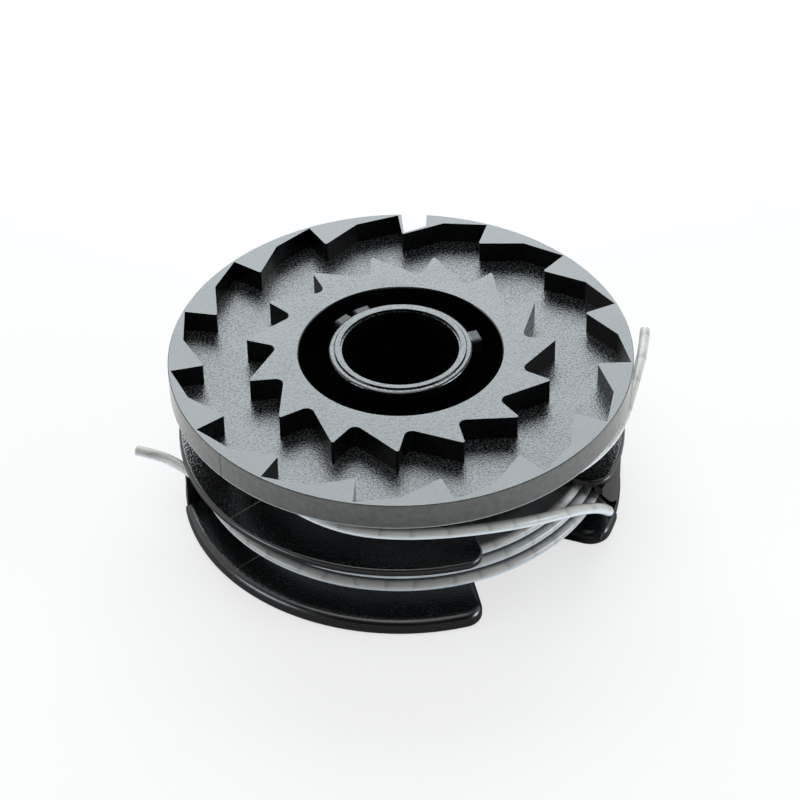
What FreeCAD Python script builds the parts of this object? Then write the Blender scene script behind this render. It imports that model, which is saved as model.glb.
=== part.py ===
import FreeCAD, Part
import math
import os
import re
import Sketcher

# Trimmer line spool: one moulded spool with three flanges, and the nylon line wound in its two
# chambers. Millimetres and degrees. The origin is on the axis at the underside of the lower flange,
# +Z runs up the axis to the ratchet teeth, and the loose turn of line crosses the -Y side.

SIZES = {
    # The turned shape: tube in the middle, spring recess around it, drum, and three flanges.
    "bore_radius": 9.1,
    "tube_wall": 2.03,
    "recess_radius": 15.84,
    "recess_floor": 2.7,
    "drum_wall": 1.56,
    "rim_radius": 36.0,
    "flange_step": 0.9,
    "lower_thick": 2.7,
    "lower_chamber": 9.65,
    "middle_thick": 1.15,
    "upper_chamber": 9.1,
    "rim_height": 4.5,
    "floor_thick": 0.9,
    "star_rise": 0.35,
    "tube_rise": 0.75,
    "tube_round": 0.35,
    "seat_rise": 0.25,
    "seat_slope": 0.08,
    "seat_width": 0.75,
    "mouth_lip": 0.3,
    "mouth_drop": 0.4,
    "groove_width": 0.14,
    "groove_depth": 0.4,
    "edge_break": 0.15,
    "edge_round": 0.55,
    "ledge_round": 1.2,
    "foot_round": 0.8,
    # The ratchet: teeth inside the rim and on the star around the recess. Angles are shares of a tooth.
    "tooth_count": 15,
    "rim_wall": 0.4,
    "knee_depth": 1.6,
    "tooth_reach": 5.2,
    "valley_share": 0.75,
    "knee_share": 1.2275,
    "tip_share": 0.70,
    "star_reach": 8.56,
    "root_reach": 3.19,
    "star_share": 0.1917,
    "root_share": 0.327,
    "root_round": 1.2,
    "space_overlap": 0.08,
    "tip_round": 0.3,
    # The two gaps cut in the middle and lower flanges, half a turn apart.
    "gap_start": -70.5,
    "gap_end": -27.9,
    "gap_root_start": -66.2,
    "gap_root_end": -31.2,
    "gap_depth": 9.6,
    "lobe_round": 3.0,
    "heel_round": 3.4,
    "cut_over": 2.0,
    # The two posts between those flanges, each with a slot that parks a line end.
    "post_inset": 0.45,
    "post_wall": 1.3,
    "post_start": -28.0,
    "post_end": 11.0,
    "slot_mouth": 8.4,
    "slot_knee": 3.4,
    "slot_knee_angle": -20.7,
    "slot_end": 0.6,
    "slot_sink": 0.05,
    "slot_end_angle": -14.5,
    "step_depth": 0.35,
    "step_start": -17.0,
    # The notch in the rim at the back, and the small ribs on the tube in the recess.
    "notch_left": 0.5,
    "notch_flare": 1.1,
    "notch_width": 6.2,
    "notch_floor": 0.45,
    "notch_slant": 1.95,
    "rib_height": 1.9,
    "rib_tall": 2.4,
    "rib_drop": 0.75,
    "rib_span": 15.5,
    "rib_lead": 2.0,
    "rib_round": 0.4,
    "right_rib": 10.0,
    "left_rib": 111.0,
    "last_rib": 128.5,
    # The line, and how it fills the two chambers.
    "line_diameter": 1.65,
    "turn_pitch": 1.68,
    "upper_rows": 5,
    "low_rows": 2,
    "full_rows": 3,
    "turn_sink": 0.15,
    "drum_gap": 0.1,
    "lower_first_turn": 1.4,
    "upper_first_turn": 1.2,
    "upper_fill": 6.2,
    "lower_fill": 9.0,
    "outer_inset": 3.2,
    "turn_lean": 0.95,
    "wound_angle": 300.0,
}

# Heights and radii that follow from the sizes.
MIDDLE_BASE = "(lower_thick + lower_chamber)"
MIDDLE_TOP = f"({MIDDLE_BASE} + middle_thick)"
RIM_BASE = f"({MIDDLE_TOP} + upper_chamber)"
RIM_TOP = f"({RIM_BASE} + rim_height)"
STAR_TOP = f"({RIM_TOP} + star_rise)"
TUBE_TOP = f"({RIM_TOP} + tube_rise)"
SEAT_TOP = f"({TUBE_TOP} + seat_rise)"
TUBE_RADIUS = "(bore_radius + tube_wall)"
DRUM_RADIUS = "(recess_radius + drum_wall)"
FLANGE_RADIUS = "(rim_radius - flange_step)"
POST_RADIUS = f"({FLANGE_RADIUS} - post_inset)"
POST_INSIDE = f"({POST_RADIUS} - post_wall)"
STEP_RADIUS = f"({FLANGE_RADIUS} - step_depth)"
GAP_ROOT = f"({FLANGE_RADIUS} - gap_depth)"
CUT_RADIUS = "(rim_radius + cut_over)"
VALLEY_RADIUS = "(rim_radius - rim_wall)"
KNEE_RADIUS = f"({VALLEY_RADIUS} - knee_depth)"
TIP_RADIUS = f"({VALLEY_RADIUS} - tooth_reach)"
STAR_RADIUS = "(recess_radius + star_reach)"
ROOT_RADIUS = "(recess_radius + root_reach)"
PITCH = "(360 / tooth_count)"

doc = FreeCAD.newDocument("trimmer_line_spool")
sheet = doc.addObject("Spreadsheet::Sheet", "Sizes")
for row, (name, size) in enumerate(SIZES.items(), start=1):
    sheet.set(f"A{row}", name)
    sheet.set(f"B{row}", str(size))
    sheet.setAlias(f"B{row}", name)
scratch_sheet = doc.addObject("Spreadsheet::Sheet", "Scratch")
doc.recompute()


def named(formula):
    """A formula with each size in it written as a cell of the sheet."""
    return re.sub(r"[a-z]\w*", lambda word: f"Sizes.{word[0]}" if word[0] in SIZES else word[0], formula)


def number(formula):
    """The value of a formula, worked out on a second sheet that nothing depends on."""
    scratch_sheet.set("A1", "=" + named(formula))
    scratch_sheet.recompute()
    return float(scratch_sheet.get("A1"))


def bind(thing, path, formula):
    """Tie one property of a thing to a formula in the names of the sheet."""
    thing.setExpression(path, named(formula))


def polar(radius, angle):
    """The two coordinates of a point at a radius and an angle about the axis."""
    return f"{radius} * cos({angle})", f"{radius} * sin({angle})"


def new_body(name):
    body = doc.addObject("PartDesign::Body", name)
    body.Label = name
    return body


def new_sketch(body, name, plane, height="0"):
    """A sketch on one of the body's own origin planes, raised by a height."""
    sketch = body.newObject("Sketcher::SketchObject", name)
    side = next(part for part in body.Origin.OriginFeatures if part.Role == plane)
    sketch.AttachmentSupport = [(side, "")]
    sketch.MapMode = "FlatFace"
    bind(sketch, "AttachmentOffset.Base.z", height)
    return sketch


def outline(sketch, corners, arcs=()):
    """Close an outline through corners. An edge whose first corner is in arcs runs about the origin."""
    count = len(corners)
    points = [FreeCAD.Vector(number(x), number(y), 0) for x, y in corners]
    backward = set()
    for i in range(count):
        start, end = points[i], points[(i + 1) % count]
        if i in arcs:
            first = math.atan2(start.y, start.x)
            last = math.atan2(end.y, end.x)
            if math.remainder(last - first, math.tau) < 0:
                backward.add(i)
                first, last = last, first
            circle = Part.Circle(FreeCAD.Vector(), FreeCAD.Vector(0, 0, 1), start.Length)
            sketch.addGeometry(Part.ArcOfCircle(circle, first, last), False)
        else:
            sketch.addGeometry(Part.LineSegment(start, end), False)
    for i in range(count):
        after = (i + 1) % count
        leave = 1 if i in backward else 2
        enter = 2 if after in backward else 1
        sketch.addConstraint(Sketcher.Constraint("Coincident", i, leave, after, enter))
        if i in arcs:
            sketch.addConstraint(Sketcher.Constraint("Coincident", i, 3, -1, 1))
    for i, (x, y) in enumerate(corners):
        spot = points[i]
        end = 2 if i in backward else 1
        before = (i - 1) % count
        pins = [("DistanceX", spot.x, x), ("DistanceY", spot.y, y)]
        if before in arcs:
            pins = [pins[1] if abs(spot.x) > abs(spot.y) else pins[0]]
        for kind, start, formula in pins:
            place = sketch.addConstraint(Sketcher.Constraint(kind, -1, 1, i, end, start))
            bind(sketch, f"Constraints[{place}]", formula)


def revolve(body, name, sketch):
    turned = body.newObject("PartDesign::Revolution", name)
    turned.Profile = sketch
    turned.ReferenceAxis = (sketch, ["V_Axis"])
    turned.Angle = 360
    body.Tip = turned
    doc.recompute()
    return turned


def push(body, kind, name, sketch, length, backwards=False):
    """A Pad or a Pocket of a sketch, as long as the formula says."""
    feature = body.newObject(f"PartDesign::{kind}", name)
    feature.Profile = sketch
    feature.Type = "Length"
    feature.Reversed = backwards
    bind(feature, "Length", length)
    body.Tip = feature
    doc.recompute()
    return feature


def repeat(body, name, features, count):
    """Copies of features, evenly spaced around the axis."""
    pattern = body.newObject("PartDesign::PolarPattern", name)
    pattern.Originals = features
    axis = next(part for part in body.Origin.OriginFeatures if part.Role == "Z_Axis")
    pattern.Axis = (axis, [""])
    pattern.Angle = 360
    bind(pattern, "Occurrences", count)
    body.Tip = pattern
    doc.recompute()
    return pattern


def fillet(body, name, radius, chosen):
    """Round the edges of the body so far for which chosen(edge) is true."""
    base = body.Tip
    edges = [f"Edge{i}" for i, edge in enumerate(base.Shape.Edges, start=1) if chosen(edge)]
    rounded = body.newObject("PartDesign::Fillet", name)
    rounded.Base = (base, edges)
    bind(rounded, "Radius", radius)
    body.Tip = rounded
    doc.recompute()
    return rounded


def azimuth(point):
    return math.degrees(math.atan2(point.y, point.x))


def upright_at(radius, angles):
    """Picks straight edges along +Z at a radius, near one of the angles."""
    near = 0.02
    near_angle = 2.5

    def chosen(edge):
        ends = [vertex.Point for vertex in edge.Vertexes]
        if len(ends) != 2 or math.dist(ends[0][:2], ends[1][:2]) > near:
            return False
        if abs(math.hypot(ends[0].x, ends[0].y) - radius) > near:
            return False
        turn = azimuth(ends[0])
        return any(abs(math.remainder(turn - angle, 360)) < near_angle for angle in angles)

    return chosen


def flat_beyond(height, radius, limit=math.inf):
    """Picks edges that lie in a level plane, with their middle between a radius and a limit."""
    near = 0.001

    def chosen(edge):
        points = edge.discretize(5)
        middle = points[len(points) // 2]
        level = all(abs(point.z - height) < near for point in points)
        return level and radius < math.hypot(middle.x, middle.y) < limit

    return chosen


# The spool is one moulding. Its round shape is turned first.
spool = new_body("spool_body")
turned_sketch = new_sketch(spool, "turned_outline", "XZ_Plane")
step_radius = f"({STAR_RADIUS} + {TIP_RADIUS}) / 2"
mouth_radius = "(bore_radius + mouth_lip)"
seat_outside = f"({mouth_radius} + seat_width)"
groove_inside = f"({seat_outside} + seat_slope)"
groove_outside = f"({groove_inside} + groove_width)"
groove_floor = f"{TUBE_TOP} - groove_depth"
outline(turned_sketch, [
    ("bore_radius", "0"),
    (FLANGE_RADIUS, "0"),
    (FLANGE_RADIUS, "lower_thick"),
    (DRUM_RADIUS, "lower_thick"),
    (DRUM_RADIUS, MIDDLE_BASE),
    (FLANGE_RADIUS, MIDDLE_BASE),
    (FLANGE_RADIUS, MIDDLE_TOP),
    (DRUM_RADIUS, MIDDLE_TOP),
    (DRUM_RADIUS, RIM_BASE),
    ("rim_radius - edge_break", RIM_BASE),
    ("rim_radius", f"{RIM_BASE} + edge_break"),
    ("rim_radius", f"{RIM_TOP} - edge_break"),
    ("rim_radius - edge_break", RIM_TOP),
    (step_radius, RIM_TOP),
    (step_radius, STAR_TOP),
    ("recess_radius + edge_break", STAR_TOP),
    ("recess_radius", f"{STAR_TOP} - edge_break"),
    ("recess_radius", "recess_floor"),
    (TUBE_RADIUS, "recess_floor"),
    (TUBE_RADIUS, TUBE_TOP),
    (groove_outside, TUBE_TOP),
    (groove_outside, groove_floor),
    (groove_inside, groove_floor),
    (groove_inside, TUBE_TOP),
    (seat_outside, SEAT_TOP),
    (mouth_radius, SEAT_TOP),
    (mouth_radius, f"{SEAT_TOP} - mouth_drop"),
    ("bore_radius", f"{SEAT_TOP} - mouth_drop"),
])
revolve(spool, "turned_shape", turned_sketch)

# One tooth space of the ratchet ring, open to its neighbours, then all of them. The two points in the
# open ring between the teeth overlap the next space a little, so nothing is left between copies.
ring_sketch = new_sketch(spool, "tooth_space", "XY_Plane", STAR_TOP)
open_radius = f"(({STAR_RADIUS} + {TIP_RADIUS}) / 2)"
open_share = "(tip_share + star_share) / 2"
outline(ring_sketch, [
    polar(TIP_RADIUS, f"{PITCH} * tip_share"),
    polar(VALLEY_RADIUS, f"{PITCH} * valley_share"),
    polar(KNEE_RADIUS, f"{PITCH} * knee_share"),
    polar(TIP_RADIUS, f"{PITCH} * (tip_share + 1)"),
    polar(open_radius, f"{PITCH} * ({open_share} + 1 + space_overlap)"),
    polar(STAR_RADIUS, f"{PITCH} * (star_share + 1)"),
    polar(ROOT_RADIUS, f"{PITCH} * root_share"),
    polar(STAR_RADIUS, f"{PITCH} * star_share"),
    polar(open_radius, f"{PITCH} * ({open_share} - space_overlap)"),
])
tooth_space = push(spool, "Pocket", "tooth_pocket", ring_sketch, "star_rise + rim_height - floor_thick")
repeat(spool, "tooth_ring", [tooth_space], "tooth_count")
root_angles = [number(f"{PITCH} * (root_share + {i})") for i in range(int(number("tooth_count")))]
star_angles = [number(f"{PITCH} * (star_share + {i})") for i in range(int(number("tooth_count")))]
tip_angles = [number(f"{PITCH} * (tip_share + {i})") for i in range(int(number("tooth_count")))]
fillet(spool, "tooth_roots", "root_round", upright_at(number(ROOT_RADIUS), root_angles))
fillet(spool, "star_tips", "tip_round", upright_at(number(STAR_RADIUS), star_angles))
fillet(spool, "ring_tips", "tip_round", upright_at(number(TIP_RADIUS), tip_angles))

# The gaps in the middle and lower flanges. The lobe beside each gap ends in rounded corners.
gap_sketch = new_sketch(spool, "gap_outline", "XY_Plane")
outline(gap_sketch, [
    polar(CUT_RADIUS, "gap_start"),
    polar(CUT_RADIUS, "gap_end"),
    polar(GAP_ROOT, "gap_root_end"),
    polar(GAP_ROOT, "gap_root_start"),
], arcs={0, 2})
gap_cut = push(spool, "Pocket", "gap_cut", gap_sketch, f"{MIDDLE_TOP} + upper_chamber / 2", backwards=True)
repeat(spool, "gap_pair", [gap_cut], "2")
flange_radius = number(FLANGE_RADIUS)
lobe_angles = [number("gap_start"), number("gap_start") + 180]
heel_angles = [number("gap_end"), number("gap_end") + 180]
fillet(spool, "lobe_corners", "lobe_round", upright_at(flange_radius, lobe_angles))
fillet(spool, "heel_corners", "heel_round", upright_at(flange_radius, heel_angles))

# A shallow step along the edge of the lower flange below each post.
step_sketch = new_sketch(spool, "step_outline", "XY_Plane")
outline(step_sketch, [
    polar(STEP_RADIUS, "step_start"),
    polar(CUT_RADIUS, "step_start"),
    polar(CUT_RADIUS, "post_end"),
    polar(STEP_RADIUS, "post_end"),
], arcs={1, 3})
step_cut = push(spool, "Pocket", "step_cut", step_sketch, "lower_thick + lower_chamber / 2", backwards=True)
repeat(spool, "step_pair", [step_cut], "2")

# Moulded edges: both flanges and the tube's mouth are rounded all the way round.
flange_root = number(f"{DRUM_RADIUS} + cut_over")
fillet(spool, "middle_edge", "edge_round", flat_beyond(number(MIDDLE_TOP), flange_root))
fillet(spool, "lower_edge", "ledge_round", flat_beyond(number("lower_thick"), flange_root))
fillet(spool, "foot_edge", "foot_round", flat_beyond(0, flange_root))
tube_inside = number(f"{TUBE_RADIUS} - tube_round")
fillet(spool, "tube_edge", "tube_round", flat_beyond(number(TUBE_TOP), tube_inside))

# The posts stand on the lower flange, below its rounded edge, and carry the middle one.
post_sketch = new_sketch(spool, "post_outline", "XY_Plane", "lower_thick - ledge_round")
outline(post_sketch, [
    polar(POST_INSIDE, "post_start"),
    polar(POST_RADIUS, "post_start"),
    polar(POST_RADIUS, "post_end"),
    polar(POST_INSIDE, "post_end"),
], arcs={1, 3})
post = push(spool, "Pad", "post", post_sketch, "lower_chamber + ledge_round")
repeat(spool, "post_pair", [post], "2")

# The slot at the foot of each post: a slanted upper edge over the flange, closed at a blunt end. Its
# floor is sunk a little into the flange, clear of the top of the rounded edge.
slot_sketch = new_sketch(spool, "slot_outline", "XZ_Plane", f"-({POST_INSIDE} * sin(slot_end_angle))")
outline(slot_sketch, [
    (f"{POST_INSIDE} * cos(post_start) - cut_over", "lower_thick - slot_sink"),
    (f"{POST_RADIUS} * cos(slot_end_angle)", "lower_thick - slot_sink"),
    (f"{POST_RADIUS} * cos(slot_end_angle)", "lower_thick + slot_end"),
    (f"{POST_RADIUS} * cos(slot_knee_angle)", "lower_thick + slot_knee"),
    (f"{POST_RADIUS} * cos(post_start)", "lower_thick + slot_mouth"),
    (f"{POST_INSIDE} * cos(post_start) - cut_over", "lower_thick + slot_mouth"),
])
slot_cut = push(spool, "Pocket", "slot_cut", slot_sketch, CUT_RADIUS, backwards=True)
repeat(spool, "slot_pair", [slot_cut], "2")

# The notch in the rim, cut through the body of one tooth.
notch_sketch = new_sketch(spool, "notch_outline", "XY_Plane", STAR_TOP)
notch_angle = f"({PITCH} * (tip_share + 3) - notch_left)"
outline(notch_sketch, [
    polar(f"({TIP_RADIUS} + notch_floor)", notch_angle),
    polar(CUT_RADIUS, f"{notch_angle} + notch_flare"),
    polar(CUT_RADIUS, f"{notch_angle} + notch_flare / 2 - notch_width"),
    polar(f"({TIP_RADIUS} + notch_floor + notch_slant)", f"{notch_angle} - notch_width"),
])
push(spool, "Pocket", "notch_cut", notch_sketch, "star_rise + rim_height + upper_chamber / 2")

# Small ribs on the tube, just below its mouth, centre the spring.
for rib in ("right_rib", "left_rib", "last_rib"):
    rib_sketch = new_sketch(spool, f"{rib}_outline", "XY_Plane", f"{TUBE_TOP} - rib_drop")
    outline(rib_sketch, [
        polar(f"({TUBE_RADIUS} - tube_wall / 2)", rib),
        polar(f"({TUBE_RADIUS} + rib_height)", f"{rib} + rib_lead"),
        polar(f"({TUBE_RADIUS} + rib_height)", f"{rib} + rib_span - rib_lead"),
        polar(f"({TUBE_RADIUS} - tube_wall / 2)", f"{rib} + rib_span"),
    ], arcs={1, 3})
    push(spool, "Pad", f"{rib}_pad", rib_sketch, "rib_tall", backwards=True)
rib_top = number(f"{TUBE_TOP} - rib_drop")
rib_root = number(f"{TUBE_RADIUS} + rib_round")
fillet(spool, "rib_edges", "rib_round", flat_beyond(rib_top, rib_root, number("recess_radius")))


def primitive(kind, name, sizes, height, turn="0"):
    """A Part primitive on the axis, raised by a height and turned about it."""
    thing = doc.addObject(f"Part::{kind}", name)
    thing.Placement = FreeCAD.Placement(FreeCAD.Vector(), FreeCAD.Rotation(FreeCAD.Vector(0, 0, 1), 1))
    for path, formula in sizes.items():
        bind(thing, path, formula)
    bind(thing, "Placement.Base.z", height)
    bind(thing, "Placement.Rotation.Angle", turn)
    return thing


def winding(name, first, radii, leaving):
    """A coil of line as one solid: rows of turns on a core, around the drum with a small gap.

    first is the height of the lowest row. leaving gives, for a row whose last turn runs off the coil,
    the angle at which its outer turn starts.
    """
    pieces = []
    for i, radius in enumerate(radii):
        height = f"{first} + {i} * turn_pitch"
        low = f"{height} - turn_pitch / 2"
        turn = leaving.get(i, "0")
        span = "wound_angle" if i in leaving else "360"
        under = f"{radius} - line_diameter"
        outer = f"{radius} - turn_sink"
        pieces.append(primitive("Cylinder", f"{name}_core_{i + 1}", {
            "Radius": under, "Height": "turn_pitch"}, low))
        pieces.append(primitive("Cylinder", f"{name}_bed_{i + 1}", {
            "Radius": outer, "Height": "turn_pitch", "Angle": span}, low, turn))
        pieces.append(primitive("Torus", f"{name}_turn_{i + 1}", {
            "Radius1": radius, "Radius2": "line_diameter / 2", "Angle3": span}, height, turn))
    filled = doc.addObject("Part::MultiFuse", f"{name}_rows")
    filled.Shapes = pieces
    hole = primitive("Cylinder", f"{name}_hole", {
        "Radius": f"{DRUM_RADIUS} + drum_gap", "Height": f"{RIM_TOP}"}, "0")
    coil = doc.addObject("Part::Cut", name)
    coil.Base = filled
    coil.Tool = hole
    coil.Label = name
    return coil


# The lower coil fills its chamber unevenly: the two rows near the flange are low, and the upper three
# are full and lean inwards. The upper coil is even. The angles are where the runs of line leave.
LOWER_FIRST = "(lower_thick + lower_first_turn)"
UPPER_FIRST = f"({MIDDLE_TOP} + upper_first_turn)"
LOWER_TURN = [f"({DRUM_RADIUS} + lower_fill)"] * int(number("low_rows")) + [
    f"({FLANGE_RADIUS} - outer_inset - {i} * turn_lean)" for i in range(int(number("full_rows")))
]
UPPER_TURN = [f"({DRUM_RADIUS} + upper_fill)"] * int(number("upper_rows"))
LOWER_END_ANGLE = 238.0
LOOSE_TURN_ANGLE = 165.0
UPPER_END_ANGLE = -105.0
lower_coil = winding("lower_winding", LOWER_FIRST, LOWER_TURN, {4: f"{LOWER_END_ANGLE}"})
upper_coil = winding("upper_winding", UPPER_FIRST, UPPER_TURN, {
    3: f"{LOOSE_TURN_ANGLE} - wound_angle", 4: f"{UPPER_END_ANGLE} - wound_angle"})
doc.recompute()


def tube(name, route, diameter):
    """A round line along a route: straight runs joined by tangent arcs as large as the runs allow."""
    points = [FreeCAD.Vector(*point) for point in route]
    edges = []
    radii = []
    start = points[0]
    for before, corner, after in zip(points, points[1:], points[2:]):
        way_in = (corner - before).normalize()
        way_out = (after - corner).normalize()
        reach = 0.45 * min((corner - before).Length, (after - corner).Length)
        turn = way_in.getAngle(way_out)
        radii.append(reach / math.tan(turn / 2))
        enter = corner - way_in * reach
        leave = corner + way_out * reach
        inside = (way_out - way_in).normalize()
        middle = corner + inside * radii[-1] * (1 / math.cos(turn / 2) - 1)
        edges.append(Part.LineSegment(start, enter).toShape())
        edges.append(Part.Arc(enter, middle, leave).toShape())
        start = leave
    edges.append(Part.LineSegment(start, points[-1]).toShape())
    path = Part.Wire(edges)
    section = Part.Wire([Part.Circle(points[0], points[1] - points[0], diameter / 2).toShape()])
    line = doc.addObject("Part::Feature", name)
    line.Shape = path.makePipeShell([section], True, False)
    line.Label = name
    line.Placement = FreeCAD.Placement()
    expected = path.Length * math.pi * diameter ** 2 / 4
    print(name, "length", round(path.Length, 2), "radii", [round(radius, 1) for radius in radii])
    print(name, "volume over section times length", round(line.Shape.Volume / expected, 4))
    return line


def at(angle, radius, height):
    """A route point given by its angle about the axis, its radius and its height."""
    turn = math.radians(angle)
    return radius * math.cos(turn), radius * math.sin(turn), height


# The loose turn leaves the upper coil, stands off around the front, drops through the gap and ends in
# the slot of the post. The two free ends are cut square.
upper_radius = number(UPPER_TURN[0])
lower_radius = number(LOWER_TURN[4])
loose_turn_height = number(f"{UPPER_FIRST} + 3 * turn_pitch")
upper_end_height = number(f"{UPPER_FIRST} + 4 * turn_pitch")
lower_end_height = number(f"{LOWER_FIRST} + 4 * turn_pitch")
LOOSE_TURN_ROUTE = [
    at(LOOSE_TURN_ANGLE, upper_radius, loose_turn_height),
    at(175.4, 24.04, 19.74),
    at(-174.2, 25.2, 19.8),
    at(-163.9, 26.8, 20.0),
    at(-153.5, 28.4, 20.3),
    at(-143.1, 30.0, 20.6),
    at(-132.8, 31.4, 20.9),
    at(-122.4, 32.8, 21.2),
    at(-112.0, 34.4, 21.3),
    at(-102.0, 35.2, 21.1),
    at(-92.0, 35.2, 20.85),
    at(-82.0, 35.2, 20.6),
    at(-72.0, 35.2, 19.95),
    at(-62.5, 35.2, 18.8),
    at(-54.0, 35.2, 17.4),
    at(-46.5, 35.2, 15.8),
    at(-40.0, 35.2, 13.9),
    at(-34.5, 35.2, 11.7),
    at(-29.5, 35.2, 9.2),
    at(-25.5, 35.1, 6.8),
    at(-22.4, 34.6, 4.9),
    at(-19.6, 33.2, 3.85),
    at(-16.8, 31.6, 3.6),
    at(-12.5, 30.5, 3.65),
]
UPPER_END_ROUTE = [
    at(UPPER_END_ANGLE, upper_radius, upper_end_height),
    at(-94.5, 24.1, 21.42),
    at(-84.0, 25.5, 21.4),
    at(-73.5, 27.6, 21.35),
    at(-63.5, 30.0, 21.3),
    at(-54.0, 32.0, 21.3),
    at(-44.5, 33.6, 21.3),
    at(-35.0, 34.7, 21.3),
    at(-25.5, 35.3, 21.3),
    at(-16.5, 35.55, 21.3),
    (35.35, -5.3, 21.3),
    (36.5, -0.8, 21.35),
    (37.6, 3.6, 21.4),
    (38.35, 7.4, 21.45),
    (38.85, 11.1, 21.5),
]
LOWER_END_ROUTE = [
    at(LOWER_END_ANGLE, lower_radius, lower_end_height),
    (-19.45, -23.25, 10.82),
    (-23.3, -19.9, 10.85),
    (-27.2, -15.6, 10.95),
    (-31.0, -11.3, 11.1),
    (-34.6, -7.6, 11.2),
    (-38.0, -5.2, 11.3),
    (-41.7, -3.9, 11.3),
]
line_diameter = number("line_diameter")
loose_turn = tube("loose_turn", LOOSE_TURN_ROUTE, line_diameter)
upper_end = tube("upper_line_end", UPPER_END_ROUTE, line_diameter)
lower_end = tube("lower_line_end", LOWER_END_ROUTE, line_diameter)
doc.recompute()

# Every object must have computed, and every piece be a whole solid, before anything is written.
for thing in doc.Objects:
    if "Invalid" in thing.State or "Error" in thing.State:
        raise RuntimeError(f"{thing.Label} did not compute: {thing.State}")
os.makedirs("parts", exist_ok=True)
pieces = [spool, lower_coil, upper_coil, loose_turn, upper_end, lower_end]
for piece in pieces:
    if piece.Shape.isNull() or not piece.Shape.isValid() or len(piece.Shape.Solids) != 1:
        raise RuntimeError(f"{piece.Label} is not one valid solid")
for piece in pieces:
    piece.Shape.exportStep(f"parts/{piece.Label}.step")
    box = piece.Shape.BoundBox
    print(piece.Label, "volume", round(piece.Shape.Volume, 1), "height", round(box.ZMin, 2), round(box.ZMax, 2))
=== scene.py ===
# %% [markdown]
# The object is a spare spool for a garden trimmer: one black plastic moulding with a ring of
# ratchet teeth on top, wound with white nylon line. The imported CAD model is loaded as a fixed
# frame, so every shape is already in place and at its real size. This lesson gives it its looks.

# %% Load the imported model
import math
import bmesh
import bpy
from mathutils import Matrix, Vector


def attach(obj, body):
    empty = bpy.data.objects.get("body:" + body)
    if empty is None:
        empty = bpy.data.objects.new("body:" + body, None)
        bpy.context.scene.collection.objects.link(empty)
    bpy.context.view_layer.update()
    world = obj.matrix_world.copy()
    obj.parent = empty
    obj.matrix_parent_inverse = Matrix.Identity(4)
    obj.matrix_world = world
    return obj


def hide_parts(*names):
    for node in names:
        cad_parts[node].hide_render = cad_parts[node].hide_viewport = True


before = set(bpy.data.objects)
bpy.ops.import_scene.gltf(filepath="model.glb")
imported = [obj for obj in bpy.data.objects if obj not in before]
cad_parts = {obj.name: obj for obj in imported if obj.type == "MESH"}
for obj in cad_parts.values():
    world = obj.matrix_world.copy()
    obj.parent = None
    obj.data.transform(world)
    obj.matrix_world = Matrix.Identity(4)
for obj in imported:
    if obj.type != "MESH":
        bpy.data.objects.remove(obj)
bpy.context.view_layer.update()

print("CAD nodes:", sorted(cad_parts))

# %% [markdown]
# Two small things are used all through: lengths are written in millimetres and turned to metres
# by one factor, and colours are written as sRGB hex values, as a colour picker gives them. A
# shader needs linear light, so one function turns the hex value into it.

# %% Units and colours
MM = 0.001


def linear(colour):
    """An sRGB hex colour as the linear colour that a shader takes."""
    channels = [int(colour[i:i + 2], 16) / 255 for i in (1, 3, 5)]
    return (*[c / 12.92 if c <= 0.04045 else ((c + 0.055) / 1.055) ** 2.4 for c in channels], 1.0)


print("mid grey #808080 is", round(linear("#808080")[0], 3), "in linear light")

# %% [markdown]
# The camera stands where the photographer's did. Its place and its lens were worked out from the
# ellipses of the flanges and of the bore. It is about 458 mm from the top of the spool, looks down
# by 39.7 degrees, and is turned by about one degree about its own line of sight.

# %% Camera
CAMERA_PLACE = Vector((0, -357.33, 313.57)) * MM
LENS = 133.3
LOOK_DOWN = 0.6922  # this and the next two are in radians
LOOK_LEFT = 0.0005
ROLL = 0.0190
camera_data = bpy.data.cameras.new("camera")
camera_data.lens = LENS
camera_data.sensor_width = 36
camera_data.clip_start = 0.01
camera_data.clip_end = 20
camera = bpy.data.objects.new("camera", camera_data)
camera.matrix_world = (
    Matrix.Translation(CAMERA_PLACE)
    @ Matrix.Rotation(math.pi / 2 - LOOK_DOWN, 4, "X")
    @ Matrix.Rotation(LOOK_LEFT, 4, "Y")
    @ Matrix.Rotation(-ROLL, 4, "Z")
)
bpy.context.scene.collection.objects.link(camera)
bpy.context.scene.camera = camera
print("camera is", round(CAMERA_PLACE.length * 1000), "mm from the spool's foot")

# %% [markdown]
# The line leaves the coils in three places: a loose turn that goes round the front and is parked
# in the slot of a post, and two ends that are cut square. Nylon line this thick is stiff, so it
# springs outwards in wide, smooth bends. A NURBS curve bends in just that way. It stays near its
# control points and rounds off every corner between them. Blender adds a point's radius to the
# curve's box, so the radius is 1 mm, and the bevel is in that unit.

# %% A helper for the loose line
LINE_DIAMETER = 1.65 * MM
POINT_RADIUS = MM


def loose_line(name, route):
    """A smooth round line along a route, as a curve object."""
    curve = bpy.data.curves.new(name, "CURVE")
    curve.dimensions = "3D"
    curve.bevel_depth = LINE_DIAMETER / 2 / POINT_RADIUS
    curve.bevel_resolution = 6
    curve.resolution_u = 16
    curve.use_fill_caps = True
    spline = curve.splines.new("NURBS")
    spline.points.add(len(route) - 1)
    for point, place in zip(spline.points, route):
        point.co = (*(Vector(place) * MM), 1)
        point.radius = POINT_RADIUS
    spline.order_u = 3
    spline.use_endpoint_u = True
    line = bpy.data.objects.new(name, curve)
    bpy.context.scene.collection.objects.link(line)
    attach(line, "root")
    return line


print("line of", round(LINE_DIAMETER / MM, 2), "mm, ready to be laid")

# %% [markdown]
# The control points are the routes that the CAD tubes follow, so each curve stays where its tube
# is. Where the line runs round the spool, a point is given by its angle, so that one can see how
# it springs outwards. Where it stands clear of the spool, it is given by its place, in millimetres.

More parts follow.
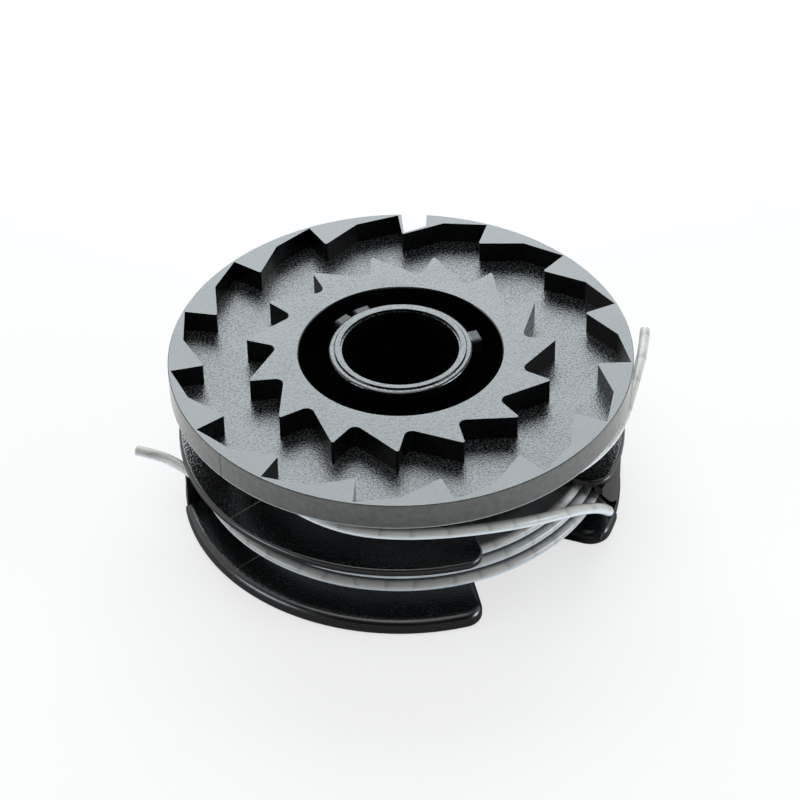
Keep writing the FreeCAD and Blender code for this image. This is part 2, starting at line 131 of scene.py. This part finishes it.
# %% Routes of the loose line
def at(angle, radius, height):
    """A point by its angle about the axis in degrees, its radius and its height in millimetres."""
    turn = math.radians(angle)
    return radius * math.cos(turn), radius * math.sin(turn), height


LOOSE_TURN_ROUTE = [
    at(165.0, 23.6, 19.74),
    at(175.4, 24.04, 19.74),
    at(-174.2, 25.2, 19.8),
    at(-163.9, 26.8, 20.0),
    at(-153.5, 28.4, 20.3),
    at(-143.1, 30.0, 20.6),
    at(-132.8, 31.4, 20.9),
    at(-122.4, 32.8, 21.2),
    at(-112.0, 34.4, 21.3),
    at(-102.0, 35.2, 21.1),
    at(-92.0, 35.2, 20.85),
    at(-82.0, 35.2, 20.6),
    at(-72.0, 35.2, 19.95),
    at(-62.5, 35.2, 18.8),
    at(-54.0, 35.2, 17.4),
    at(-46.5, 35.2, 15.8),
    at(-40.0, 35.2, 13.9),
    at(-34.5, 35.2, 11.7),
    at(-29.5, 35.2, 9.2),
    at(-25.5, 35.1, 6.8),
    at(-22.4, 34.6, 4.9),
    at(-19.6, 33.2, 3.85),
    at(-16.8, 31.6, 3.6),
    at(-12.5, 30.5, 3.65),
]
UPPER_END_ROUTE = [
    at(-105.0, 23.6, 21.42),
    at(-94.5, 24.1, 21.42),
    at(-84.0, 25.5, 21.4),
    at(-73.5, 27.6, 21.35),
    at(-63.5, 30.0, 21.3),
    at(-54.0, 32.0, 21.3),
    at(-44.5, 33.6, 21.3),
    at(-35.0, 34.7, 21.3),
    at(-25.5, 35.3, 21.3),
    at(-16.5, 35.55, 21.3),
    (35.35, -5.3, 21.3),
    (36.5, -0.8, 21.35),
    (37.6, 3.6, 21.4),
    (38.35, 7.4, 21.45),
    (38.85, 11.1, 21.5),
]
LOWER_END_ROUTE = [
    at(238.0, 30.0, 10.82),
    (-19.45, -23.25, 10.82),
    (-23.3, -19.9, 10.85),
    (-27.2, -15.6, 10.95),
    (-31.0, -11.3, 11.1),
    (-34.6, -7.6, 11.2),
    (-38.0, -5.2, 11.3),
    (-41.7, -3.9, 11.3),
]
print("points:", len(LOOSE_TURN_ROUTE), len(UPPER_END_ROUTE), len(LOWER_END_ROUTE))

# %% [markdown]
# Each curve stands for a CAD tube, which is hidden.
# The loose turn is taut and goes back into the spool at its far end. The two ends are bare.

# %% The loose line
loose_turn = loose_line("loose_turn_line", LOOSE_TURN_ROUTE)
upper_end = loose_line("upper_end_line", UPPER_END_ROUTE)
lower_end = loose_line("lower_end_line", LOWER_END_ROUTE)
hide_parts("loose_turn")
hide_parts("upper_line_end")
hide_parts("lower_line_end")
print("loose line: one turn and two ends")

# %% [markdown]
# A material is a small tree of nodes. One function adds a node, sets its options and fills its
# inputs, either with a value or with a link from another node's output.

# %% A helper for shader nodes
def add(tree, kind, inputs=None, **options):
    """Add a shader node. inputs maps a socket's name or number to a value or to an output."""
    made = tree.nodes.new("ShaderNode" + kind)
    for option, value in options.items():
        setattr(made, option, value)
    for socket, value in (inputs or {}).items():
        if isinstance(value, bpy.types.NodeSocket):
            tree.links.new(value, made.inputs[socket])
        else:
            made.inputs[socket].default_value = value
    return made


def new_material(name):
    """An empty node material, its tree, and the object coordinates in metres."""
    material = bpy.data.materials.new(name)
    material.use_nodes = True
    tree = material.node_tree
    tree.nodes.clear()
    place = add(tree, "TexCoord").outputs["Object"]
    return material, tree, place


def per_metre(size_mm):
    """A texture's scale for a pattern of that size: one unit of the coordinates is a metre."""
    return 1 / (size_mm * MM)


print("a 0.3 mm grain has the scale", round(per_metre(0.3)))

# %% [markdown]
# The spool is injection-moulded nylon or ABS, coloured black right through. The tool was spark
# eroded, which leaves a fine grain of tiny craters on the level faces: the colour is nearly black,
# and what the eye sees is the grain breaking up the reflection of the lamps. So the base colour
# stays dark, and a noise of grain size makes small crumbs that are a little paler and much rougher
# than the skin between them. A crumb is dull where its neighbours mirror a lamp, and pale where
# they mirror the dark, which is how a grained face looks. The grain is strong on the floors of the
# tooth spaces, a little weaker on the star of teeth, and weak on the ring, which use has polished.
# The flanges below have the grain's bumps but few crumbs. Real grain is about 0.1 mm, too fine to
# show in the picture, so it is drawn three times as coarse.

# %% Black moulded plastic
# ABS from a spark-eroded mould: nearly black, with a satin skin that mirrors the lamps, broken up
# by dull crumbs. Sizes and heights are in millimetres, and the grain's strengths are shares.
GRAIN = 0.34
FLANGES_BELOW = 20.0
FLOORS_BELOW = 25.0
RING_TOP = 27.15
STAR_TOP = 27.4
FADE = 1.0
RING_GRAIN, STAR_GRAIN, FULL_GRAIN = 0.3, 0.8, 1.0
FLANGE_CRUMBS = 0.3
CRUMB_FROM, CRUMB_FULL = 0.42, 0.7
LEVEL_FROM = 0.9  # the upward part of a face's direction, which is 1 on a level face
BLACK = "#040505"
CRUMB_GREY = "#363b3d"
plastic, tree, place = new_material("black_moulded_plastic")
split = add(tree, "SeparateXYZ", {0: place})
height = split.outputs["Z"]
low_grain = add(tree, "MapRange", {
    "Value": height, "From Min": FLOORS_BELOW * MM, "From Max": (FLOORS_BELOW + FADE) * MM,
    "To Min": FULL_GRAIN, "To Max": 0.0}).outputs["Result"]
top_grain = add(tree, "MapRange", {
    "Value": height, "From Min": RING_TOP * MM, "From Max": STAR_TOP * MM,
    "To Min": RING_GRAIN, "To Max": STAR_GRAIN}).outputs["Result"]
coarse = add(tree, "Math", {0: low_grain, 1: top_grain}, operation="MAXIMUM").outputs[0]
upward = add(tree, "SeparateXYZ", {0: add(tree, "NewGeometry").outputs["Normal"]}).outputs["Z"]
is_level = add(tree, "MapRange", {"Value": upward, "From Min": LEVEL_FROM}).outputs["Result"]
crumb = add(tree, "TexNoise", {
    "Vector": place, "Scale": per_metre(GRAIN), "Detail": 1.0}).outputs["Fac"]
crumbs = add(tree, "MapRange", {
    "Value": crumb, "From Min": CRUMB_FROM, "From Max": CRUMB_FULL}).outputs["Result"]
unworn = add(tree, "MapRange", {
    "Value": height, "From Min": FLANGES_BELOW * MM, "From Max": (FLANGES_BELOW + FADE) * MM,
    "To Min": FLANGE_CRUMBS, "To Max": 1.0}).outputs["Result"]
coarse_crumbs = add(tree, "Math", {0: crumbs, 1: coarse}, operation="MULTIPLY").outputs[0]
unworn_crumbs = add(tree, "Math", {0: coarse_crumbs, 1: unworn}, operation="MULTIPLY").outputs[0]
level_crumbs = add(tree, "Math", {0: unworn_crumbs, 1: is_level}, operation="MULTIPLY").outputs[0]
grained = add(tree, "Mix", {
    "Factor": level_crumbs, 6: linear(BLACK), 7: linear(CRUMB_GREY)}, data_type="RGBA").outputs[2]
print("grain on the level faces, in crumbs of", GRAIN, "mm")

# %% [markdown]
# The outer face of the upper flange turns against the trimmer's housing. It is painted a soft grey,
# in mottles about a millimetre wide: a painted reflection of the pale table, which this face
# mirrors.
# Its lower edge has a thin pale line, a painted highlight. Both are found by the radius and the
# height of a point, so the rest of the moulding keeps its black.

# %% Rim face with painted reflection and painted highlight
RIM_FACE = 35.8
RIM_FOOT = 22.55
HIGHLIGHT_FULL, HIGHLIGHT_END = 0.25, 0.4
MOTTLE = 1.1
NOISE_LOW, NOISE_HIGH = 0.3, 0.7  # a noise seldom leaves this range
LEAST_REFLECTION, MOST_REFLECTION = 0.4, 0.6
# The grey of the rim face's painted reflection of the pale table.
REFLECTION_GREY = "#6e706b"
# The pale line of the painted highlight at the rim's lower edge.
EDGE_HIGHLIGHT_GREY = "#a8adab"
around = add(tree, "CombineXYZ", {"X": split.outputs["X"], "Y": split.outputs["Y"]}).outputs[0]
radius = add(tree, "VectorMath", {0: around}, operation="LENGTH").outputs["Value"]
on_rim = add(tree, "Math", {0: radius, 1: RIM_FACE * MM}, operation="GREATER_THAN").outputs[0]
mottle = add(tree, "TexNoise", {
    "Vector": place, "Scale": per_metre(MOTTLE), "Detail": 3.0}).outputs["Fac"]
reflection_share = add(tree, "MapRange", {
    "Value": mottle, "From Min": NOISE_LOW, "From Max": NOISE_HIGH,
    "To Min": LEAST_REFLECTION, "To Max": MOST_REFLECTION}).outputs["Result"]
# The rim's face is painted grey in mottles: a painted reflection of the pale table.
painted_reflection = add(tree, "Math", {0: on_rim, 1: reflection_share}, operation="MULTIPLY").outputs[0]
rim = add(tree, "Mix", {
    "Factor": painted_reflection, 6: grained, 7: linear(REFLECTION_GREY)}, data_type="RGBA").outputs[2]
# A thin pale line along the rim's lower edge: a painted highlight.
low_edge = add(tree, "MapRange", {
    "Value": height, "From Min": (RIM_FOOT + HIGHLIGHT_FULL) * MM,
    "From Max": (RIM_FOOT + HIGHLIGHT_END) * MM, "To Min": 1.0, "To Max": 0.0}).outputs["Result"]
edge_highlight = add(tree, "Math", {0: low_edge, 1: on_rim}, operation="MULTIPLY").outputs[0]
edged = add(tree, "Mix", {
    "Factor": edge_highlight, 6: rim, 7: linear(EDGE_HIGHLIGHT_GREY)}, data_type="RGBA").outputs[2]
print("rubbed face outside a radius of", RIM_FACE, "mm")

# %% [markdown]
# Where the two halves of the mould met, a fine seam runs over the flanges and up the rim. It is a
# plane through the axis: a point's distance from that plane draws the line, pale on the dark
# flanges and dark on the rim's painted grey, and raises it a little.

# %% Mould seam
SEAM_ANGLE = math.radians(-139)
SEAM_FULL, SEAM_END = 0.05, 0.14
SEAM_HEIGHT = 0.1
PALE_SEAM = "#303436"
DARK_SEAM = "#0c0d0d"
seam_side = (math.sin(SEAM_ANGLE), -math.cos(SEAM_ANGLE), 0)
off_seam = add(tree, "VectorMath", {
    0: place, 1: seam_side}, operation="DOT_PRODUCT").outputs["Value"]
beside_seam = add(tree, "Math", {0: off_seam}, operation="ABSOLUTE").outputs[0]
in_plane = add(tree, "MapRange", {
    "Value": beside_seam, "From Min": SEAM_FULL * MM, "From Max": SEAM_END * MM,
    "To Min": 1.0, "To Max": 0.0}).outputs["Result"]
in_front = add(tree, "Math", {0: split.outputs["Y"], 1: 0.0}, operation="LESS_THAN").outputs[0]
seam_line = add(tree, "Math", {0: in_plane, 1: in_front}, operation="MULTIPLY").outputs[0]
under_rim = add(tree, "Math", {0: height, 1: RIM_FOOT * MM}, operation="LESS_THAN").outputs[0]
low_seam = add(tree, "Math", {0: seam_line, 1: under_rim}, operation="MULTIPLY").outputs[0]
rim_seam = add(tree, "Math", {0: seam_line, 1: on_rim}, operation="MULTIPLY").outputs[0]
seamed = add(tree, "Mix", {
    "Factor": low_seam, 6: edged, 7: linear(PALE_SEAM)}, data_type="RGBA").outputs[2]
colour = add(tree, "Mix", {
    "Factor": rim_seam, 6: seamed, 7: linear(DARK_SEAM)}, data_type="RGBA").outputs[2]
seam = add(tree, "Math", {0: low_seam, 1: rim_seam}, operation="MAXIMUM").outputs[0]
seam_bump = add(tree, "Bump", {
    "Height": seam, "Strength": 0.6, "Distance": SEAM_HEIGHT * MM}).outputs["Normal"]
print("seam of", 2 * SEAM_END, "mm at an angle of", round(math.degrees(SEAM_ANGLE)), "degrees")

# %% [markdown]
# The grain's bump goes on top of the seam's. Last comes the gloss: the upper flange and all level
# faces came smooth from the steel, the edges of the lower flanges are duller, the crumbs are duller
# still, and the ribs round the bore, in the recess, are dusty. A slow cloud of noise varies it all.

# %% Bump and gloss
GRAIN_DEPTH = 0.065
SMOOTH, DULL = 0.17, 0.3
CLOUD = 9.0
CLOUD_LESS, CLOUD_MORE = -0.03, 0.04
CRUMB_DULLS = 0.31
RIBS_AT, RIBS_REACH = 13.2, 1.8
DUST_DULLS = 0.4
grain = add(tree, "TexNoise", {
    "Vector": place, "Scale": per_metre(GRAIN), "Detail": 2.0}).outputs["Fac"]
coarse_level = add(tree, "Math", {0: coarse, 1: is_level}, operation="MULTIPLY").outputs[0]
level_grain = add(tree, "Math", {0: grain, 1: coarse_level}, operation="MULTIPLY").outputs[0]
grain_bump = add(tree, "Bump", {
    "Height": level_grain, "Distance": GRAIN_DEPTH * MM, "Normal": seam_bump}).outputs["Normal"]
above = add(tree, "Math", {0: height, 1: RIM_FOOT * MM}, operation="GREATER_THAN").outputs[0]
smooth = add(tree, "Math", {0: coarse_level, 1: above}, operation="MAXIMUM").outputs[0]
skin_gloss = add(tree, "MapRange", {
    "Value": smooth, "To Min": DULL, "To Max": SMOOTH}).outputs["Result"]
cloud = add(tree, "TexNoise", {
    "Vector": place, "Scale": per_metre(CLOUD), "Detail": 2.0}).outputs["Fac"]
patches = add(tree, "MapRange", {
    "Value": cloud, "From Min": NOISE_LOW, "From Max": NOISE_HIGH,
    "To Min": CLOUD_LESS, "To Max": CLOUD_MORE}).outputs["Result"]
cloudy = add(tree, "Math", {0: skin_gloss, 1: patches}, operation="ADD").outputs[0]
crumbly = add(tree, "Math", {
    0: level_crumbs, 1: CRUMB_DULLS, 2: cloudy}, operation="MULTIPLY_ADD").outputs[0]
in_recess = add(tree, "Math", {
    0: radius, 1: RIBS_AT * MM, 2: RIBS_REACH * MM}, operation="COMPARE").outputs[0]
gloss = add(tree, "Math", {
    0: in_recess, 1: DUST_DULLS, 2: crumbly}, operation="MULTIPLY_ADD").outputs[0]
skin = add(tree, "BsdfPrincipled", {
    "Base Color": colour, "Roughness": gloss, "IOR": 1.55, "Specular IOR Level": 0.6,
    "Normal": grain_bump})
add(tree, "OutputMaterial", {"Surface": skin.outputs["BSDF"]})
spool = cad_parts["spool_body"]
spool.material_slots[0].material = plastic
print("black plastic on", spool.name, "with", len(tree.nodes), "nodes")

# %% [markdown]
# The rollers that pull trimmer line out of its die leave marks on it: a faint, pale tick every few
# millimetres, with a darker bruise that fades out behind it. The angle about the spool's axis says
# how far along the line a point is. In a coil the height says which row it is on, and each row gets
# a shift of its own, so that the ticks of two rows don't line up. The crease between two rows is
# painted dark, a painted shade where the round rows meet.

# %% Marks along the line
# TICK, BRUISE and CREASE run from full to nothing. The first two are shares of the step from one
# tick to the next, and the third is a share of a row's height. Lengths are in millimetres.
COIL_RADIUS = 30.0
TICK_STEP = 4.4
ROW = 1.68
DRIFT = 7.0
TICK, TICK_SHOWS = (0.02, 0.06), 0.22
BRUISE, BRUISE_SHOWS = (0.05, 0.28), 0.5
CREASE, CREASE_SHOWS = (0.002, 0.02), 0.85


def line_marks(tree, place, row_foot):
    """How much of a tick, a bruise and a painted crease shade there is. A coil's rows start at
    row_foot.
    """
    split = add(tree, "SeparateXYZ", {0: place})
    angle = add(tree, "Math", {
        0: split.outputs["Y"], 1: split.outputs["X"]}, operation="ARCTAN2").outputs[0]
    steps = add(tree, "Math", {
        0: angle, 1: COIL_RADIUS / TICK_STEP}, operation="MULTIPLY").outputs[0]
    drift = add(tree, "TexNoise", {
        "Vector": place, "Scale": per_metre(DRIFT), "Detail": 1.0}).outputs["Fac"]
    along = add(tree, "Math", {0: steps, 1: drift}, operation="ADD").outputs[0]
    crease_shade = 0.0
    if row_foot is not None:
        lift = add(tree, "Math", {
            0: split.outputs["Z"], 1: row_foot * MM}, operation="SUBTRACT").outputs[0]
        row = add(tree, "Math", {0: lift, 1: ROW * MM}, operation="DIVIDE").outputs[0]
        row_number = add(tree, "Math", {0: row}, operation="FLOOR").outputs[0]
        shift = add(tree, "TexWhiteNoise", {
            "W": row_number}, noise_dimensions="1D").outputs["Value"]
        along = add(tree, "Math", {0: along, 1: shift}, operation="ADD").outputs[0]
        from_edge = add(tree, "Math", {0: row, 1: 0.5}, operation="PINGPONG").outputs[0]
        crease_shade = add(tree, "MapRange", {
            "Value": from_edge, "From Min": CREASE[0], "From Max": CREASE[1],
            "To Min": CREASE_SHOWS, "To Max": 0.0}).outputs["Result"]
    phase = add(tree, "Math", {0: along}, operation="FRACT").outputs[0]
    tick = add(tree, "MapRange", {
        "Value": phase, "From Min": TICK[0], "From Max": TICK[1],
        "To Min": TICK_SHOWS, "To Max": 0.0}).outputs["Result"]
    bruise = add(tree, "MapRange", {
        "Value": phase, "From Min": BRUISE[0], "From Max": BRUISE[1],
        "To Min": BRUISE_SHOWS, "To Max": 0.0}).outputs["Result"]
    return tick, bruise, crease_shade


print("a tick every", TICK_STEP, "mm of line")

# %% [markdown]
# Trimmer line is extruded nylon. It is milky rather than clear: light goes a little way in and
# comes out again, so it needs some subsurface scattering under a satin skin. The light that the
# line gathers from above along its lower side, like a rod lens, is painted in: the lower side is
# painted lighter and bluer, a painted highlight, and the upper side a warm grey, a painted shade.
# The marks are laid over these two tones.

# %% White nylon line
# Extruded through a die: milky, satin and even, with the marks of the rollers that pulled it out.
HAZE = 3.0
TURNED_UP = 0.35  # how far a face has to turn up or down to show one tone alone
DENT = 0.1
BRUISE_GREY = "#6f6a63"
TICK_WHITE = "#e4e6e4"
# The dark of the painted shade in the creases between rows.
CREASE_SHADE = "#1c1b1a"


def nylon(name, row_foot, shaded_upper_tones, lit_under_tone):
    """Nylon line. Its upper side's two colours, which a haze mixes, carry painted shade, and its
    under side's one colour is painted light.
    """
    material, tree, place = new_material(name)
    tick, bruise, crease_shade = line_marks(tree, place, row_foot)
    upward = add(tree, "SeparateXYZ", {0: add(tree, "NewGeometry").outputs["Normal"]}).outputs["Z"]
    # The lower side is painted lighter and bluer, a painted highlight, over a darker painted shade
    # above.
    below = add(tree, "MapRange", {
        "Value": upward, "From Min": -TURNED_UP, "From Max": TURNED_UP,
        "To Min": 1.0, "To Max": 0.0}).outputs["Result"]
    haze = add(tree, "TexNoise", {
        "Vector": place, "Scale": per_metre(HAZE), "Detail": 2.0}).outputs["Fac"]
    tone, other_tone = (linear(colour) for colour in shaded_upper_tones)
    milky = add(tree, "Mix", {
        "Factor": haze, 6: tone, 7: other_tone}, data_type="RGBA").outputs[2]
    bruised = add(tree, "Mix", {
        "Factor": bruise, 6: milky, 7: linear(BRUISE_GREY)}, data_type="RGBA").outputs[2]
    lit = add(tree, "Mix", {
        "Factor": below, 6: bruised, 7: linear(lit_under_tone)}, data_type="RGBA").outputs[2]
    ticked = add(tree, "Mix", {
        "Factor": tick, 6: lit, 7: linear(TICK_WHITE)}, data_type="RGBA").outputs[2]
    # The crease between two rows is darkened: painted shade.
    crease_shaded = add(tree, "Mix", {
        "Factor": crease_shade, 6: ticked, 7: linear(CREASE_SHADE)}, data_type="RGBA").outputs[2]
    dent = add(tree, "Bump", {
        "Height": tick, "Strength": 0.4, "Distance": DENT * MM}).outputs["Normal"]
    body = add(tree, "BsdfPrincipled", {
        "Base Color": crease_shaded, "Roughness": 0.34, "IOR": 1.53, "Subsurface Weight": 0.3,
        "Subsurface Scale": 0.5 * MM, "Subsurface Radius": (1.0, 1.0, 0.95), "Normal": dent})
    add(tree, "OutputMaterial", {"Surface": body.outputs["BSDF"]})
    return material


print("the haze on the nylon is", HAZE, "mm across")

# %% [markdown]
# Both coils are wound with the same line, but the one in the deep upper chamber is given greyer
# tones all over, a painted shade for the shade it lies in. The loose pieces have no rows, and so no
# creases.

# %% Nylon on the coils and the loose line
LOWER_ROWS_FROM = 3.26
UPPER_ROWS_FROM = 13.86
# The last colour of each nylon is the painted light on its lower side.
low_nylon = nylon("wound_nylon_low", LOWER_ROWS_FROM, ("#aaa59e", "#bfbbb4"), "#d8dfe4")
# The upper coil's tones are darker all over: painted shade.
shaded_high_nylon = nylon("wound_nylon_high_painted_shade", UPPER_ROWS_FROM, ("#686460", "#7d7974"), "#8c9297")
loose_nylon = nylon("loose_nylon", None, ("#a9a69e", "#bcbab2"), "#f4faff")
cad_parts["lower_winding"].material_slots[0].material = low_nylon
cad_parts["upper_winding"].material_slots[0].material = shaded_high_nylon
for line in (loose_turn, upper_end, lower_end):
    line.data.materials.append(loose_nylon)
print("nylon on two coils and three loose pieces")

# %% [markdown]
# The spool stands on a plain white table. The floor is a real surface, so it takes the shadow. It
# lies a hair's breadth below the foot, because two faces in one plane flicker in a render.

# %% Floor
FLOOR_SIZE = 3.0
FLOOR_DROP = 0.05 * MM
floor_mesh = bpy.data.meshes.new("floor")
shape = bmesh.new()
bmesh.ops.create_grid(shape, x_segments=1, y_segments=1, size=FLOOR_SIZE / 2)
bmesh.ops.translate(shape, verts=shape.verts, vec=(0, 0, -FLOOR_DROP))
shape.to_mesh(floor_mesh)
shape.free()
floor = bpy.data.objects.new("floor", floor_mesh)
bpy.context.scene.collection.objects.link(floor)
print("floor", FLOOR_SIZE, "m wide")

# %% [markdown]
# A photograph's white background is brighter than any lit board, so the camera and the reflections
# see the table mostly as plain white, through the Light Path node. Close to the spool the table is
# in its shade, so a mirrored ray finds it darker there than farther out.

# %% White table
# White laminate: a matt, even board that takes a soft shadow. The shade runs from full to nothing
# between two distances in millimetres, and at the foot the board keeps a little light.
SHADE_CENTRE = -14.0
SHADE_EDGE, SHADE_END = 44.0, 53.0
FOOT_EDGE, FOOT_END = 30.0, 37.0
FOOT_LIGHT = 0.26
PLAIN_SHARE = 0.7
TABLE = "#e8e8e6"
WHITE = "#ffffff"


def seen_directly(tree):
    """1 for a ray from the camera or through the object, and 1 for a mirrored ray."""
    path = add(tree, "LightPath")
    through = add(tree, "Math", {
        0: path.outputs["Is Camera Ray"],
        1: path.outputs["Is Transmission Ray"]}, operation="MAXIMUM").outputs["Value"]
    return through, path.outputs["Is Glossy Ray"]


white_table, tree, place = new_material("white_table")
plainly, mirrored = seen_directly(tree)
off_centre = add(tree, "VectorMath", {
    0: place, 1: (0, SHADE_CENTRE * MM, 0)}, operation="DISTANCE").outputs["Value"]
clear = add(tree, "MapRange", {
    "Value": off_centre, "From Min": SHADE_EDGE * MM,
    "From Max": SHADE_END * MM}).outputs["Result"]
off_axis = add(tree, "VectorMath", {0: place}, operation="LENGTH").outputs["Value"]
at_foot = add(tree, "MapRange", {
    "Value": off_axis, "From Min": FOOT_EDGE * MM, "From Max": FOOT_END * MM,
    "To Max": FOOT_LIGHT}).outputs["Result"]
bright = add(tree, "Math", {0: clear, 1: at_foot}, operation="MAXIMUM").outputs["Value"]
shaded = add(tree, "Mix", {
    "Factor": mirrored, 2: 1.0, 3: bright}, data_type="FLOAT").outputs[0]
matt = add(tree, "BsdfDiffuse", {"Color": linear(TABLE)})
plain = add(tree, "Emission", {"Color": linear(WHITE), "Strength": shaded})
plain_share = add(tree, "Math", {
    0: plainly, 1: PLAIN_SHARE}, operation="MULTIPLY").outputs["Value"]
share = add(tree, "Math", {0: plain_share, 1: mirrored}, operation="MAXIMUM").outputs["Value"]
both = add(tree, "MixShader", {0: share, 1: matt.outputs[0], 2: plain.outputs[0]})
add(tree, "OutputMaterial", {"Surface": both.outputs[0]})
floor_mesh.materials.append(white_table)
print("white table, in shade out to", SHADE_EDGE, "mm")

# %% [markdown]
# The room is white where it is looked at or mirrored. As a light it is kept low, so that it is the
# lamps that bring out the shapes.

# %% Room
ROOM_LIGHT = 0.35
world = bpy.data.worlds.new("studio")
world.use_nodes = True
tree = world.node_tree
tree.nodes.clear()
plainly, mirrored = seen_directly(tree)
seen = add(tree, "Math", {0: plainly, 1: mirrored}, operation="MAXIMUM").outputs["Value"]
strength = add(tree, "MapRange", {"Value": seen, "To Min": ROOM_LIGHT}).outputs["Result"]
room = add(tree, "Background", {"Color": linear(WHITE), "Strength": strength})
add(tree, "OutputWorld", {"Surface": room.outputs[0]})
bpy.context.scene.world = world
bpy.context.scene.view_settings.view_transform = "Standard"
print("room light", ROOM_LIGHT)

# %% [markdown]
# Black plastic shows little colour of its own: it shows the lamps. A wide softbox stands behind the
# spool at the height where the level faces mirror it into the camera, so the teeth and the floors
# between them turn light grey while every upright wall stays black. A weaker one hangs overhead,
# and a small one stands low on each side, to shine in between the flanges and round off the line.
# Places and sizes are in metres.

# %% Softboxes
AIM = Vector((0, 0, 0.02))


def softbox(name, place, size, strength, colour):
    """A rectangular lamp that faces the spool. strength is how bright its surface looks."""
    lamp = bpy.data.lights.new(name, "AREA")
    lamp.shape = "RECTANGLE"
    lamp.size, lamp.size_y = size
    lamp.energy = strength * math.pi * lamp.size * lamp.size_y
    lamp.color = linear(colour)[:3]
    holder = bpy.data.objects.new(name, lamp)
    holder.location = place
    holder.rotation_euler = (AIM - Vector(place)).to_track_quat("-Z", "Y").to_euler()
    bpy.context.scene.collection.objects.link(holder)


BACK = "#eefaff"
SIDE = "#e8f4ff"
softbox("back_softbox", place=(0.0, 0.75, 0.62), size=(0.95, 0.6), strength=5.3, colour=BACK)
softbox("top_softbox", place=(-0.1, -0.1, 1.0), size=(0.8, 0.6), strength=2.5, colour=WHITE)
softbox("right_softbox", place=(0.92, -0.22, 0.16), size=(0.5, 0.25), strength=18.0, colour=SIDE)
softbox("left_softbox", place=(-0.87, -0.38, 0.16), size=(0.4, 0.25), strength=13.0, colour=SIDE)
print("softboxes behind, overhead and low on both sides")

# %% [markdown]
# The room behind the photographer was dark: that is why the upright walls of the teeth, which
# mirror it by way of the floors between them, are black in the photograph. A dark curtain of woven
# cloth stands for it. It is part of the set and not of the object, and the camera doesn't see it.

# %% Dark curtain behind the camera
CURTAIN_RADIUS = 1.1
CURTAIN_HEIGHT = 1.5
CURTAIN_PANELS = 24
CURTAIN_GREY = "#161617"
curtain_mesh = bpy.data.meshes.new("curtain")
shape = bmesh.new()
foot = shape.verts.new((-CURTAIN_RADIUS, 0, 0))
head = shape.verts.new((-CURTAIN_RADIUS, 0, CURTAIN_HEIGHT))
edge = shape.edges.new((foot, head))
bmesh.ops.spin(shape, geom=[foot, head, edge], cent=(0, 0, 0), axis=(0, 0, 1), angle=math.pi,
               steps=CURTAIN_PANELS)
shape.to_mesh(curtain_mesh)
shape.free()
curtain = bpy.data.objects.new("curtain", curtain_mesh)
bpy.context.scene.collection.objects.link(curtain)
curtain.visible_camera = False
dark_cloth, tree, _ = new_material("dark_cloth")
cloth = add(tree, "BsdfDiffuse", {"Color": linear(CURTAIN_GREY)})
add(tree, "OutputMaterial", {"Surface": cloth.outputs[0]})
curtain_mesh.materials.append(dark_cloth)
print("curtain", CURTAIN_RADIUS, "m from the spool")
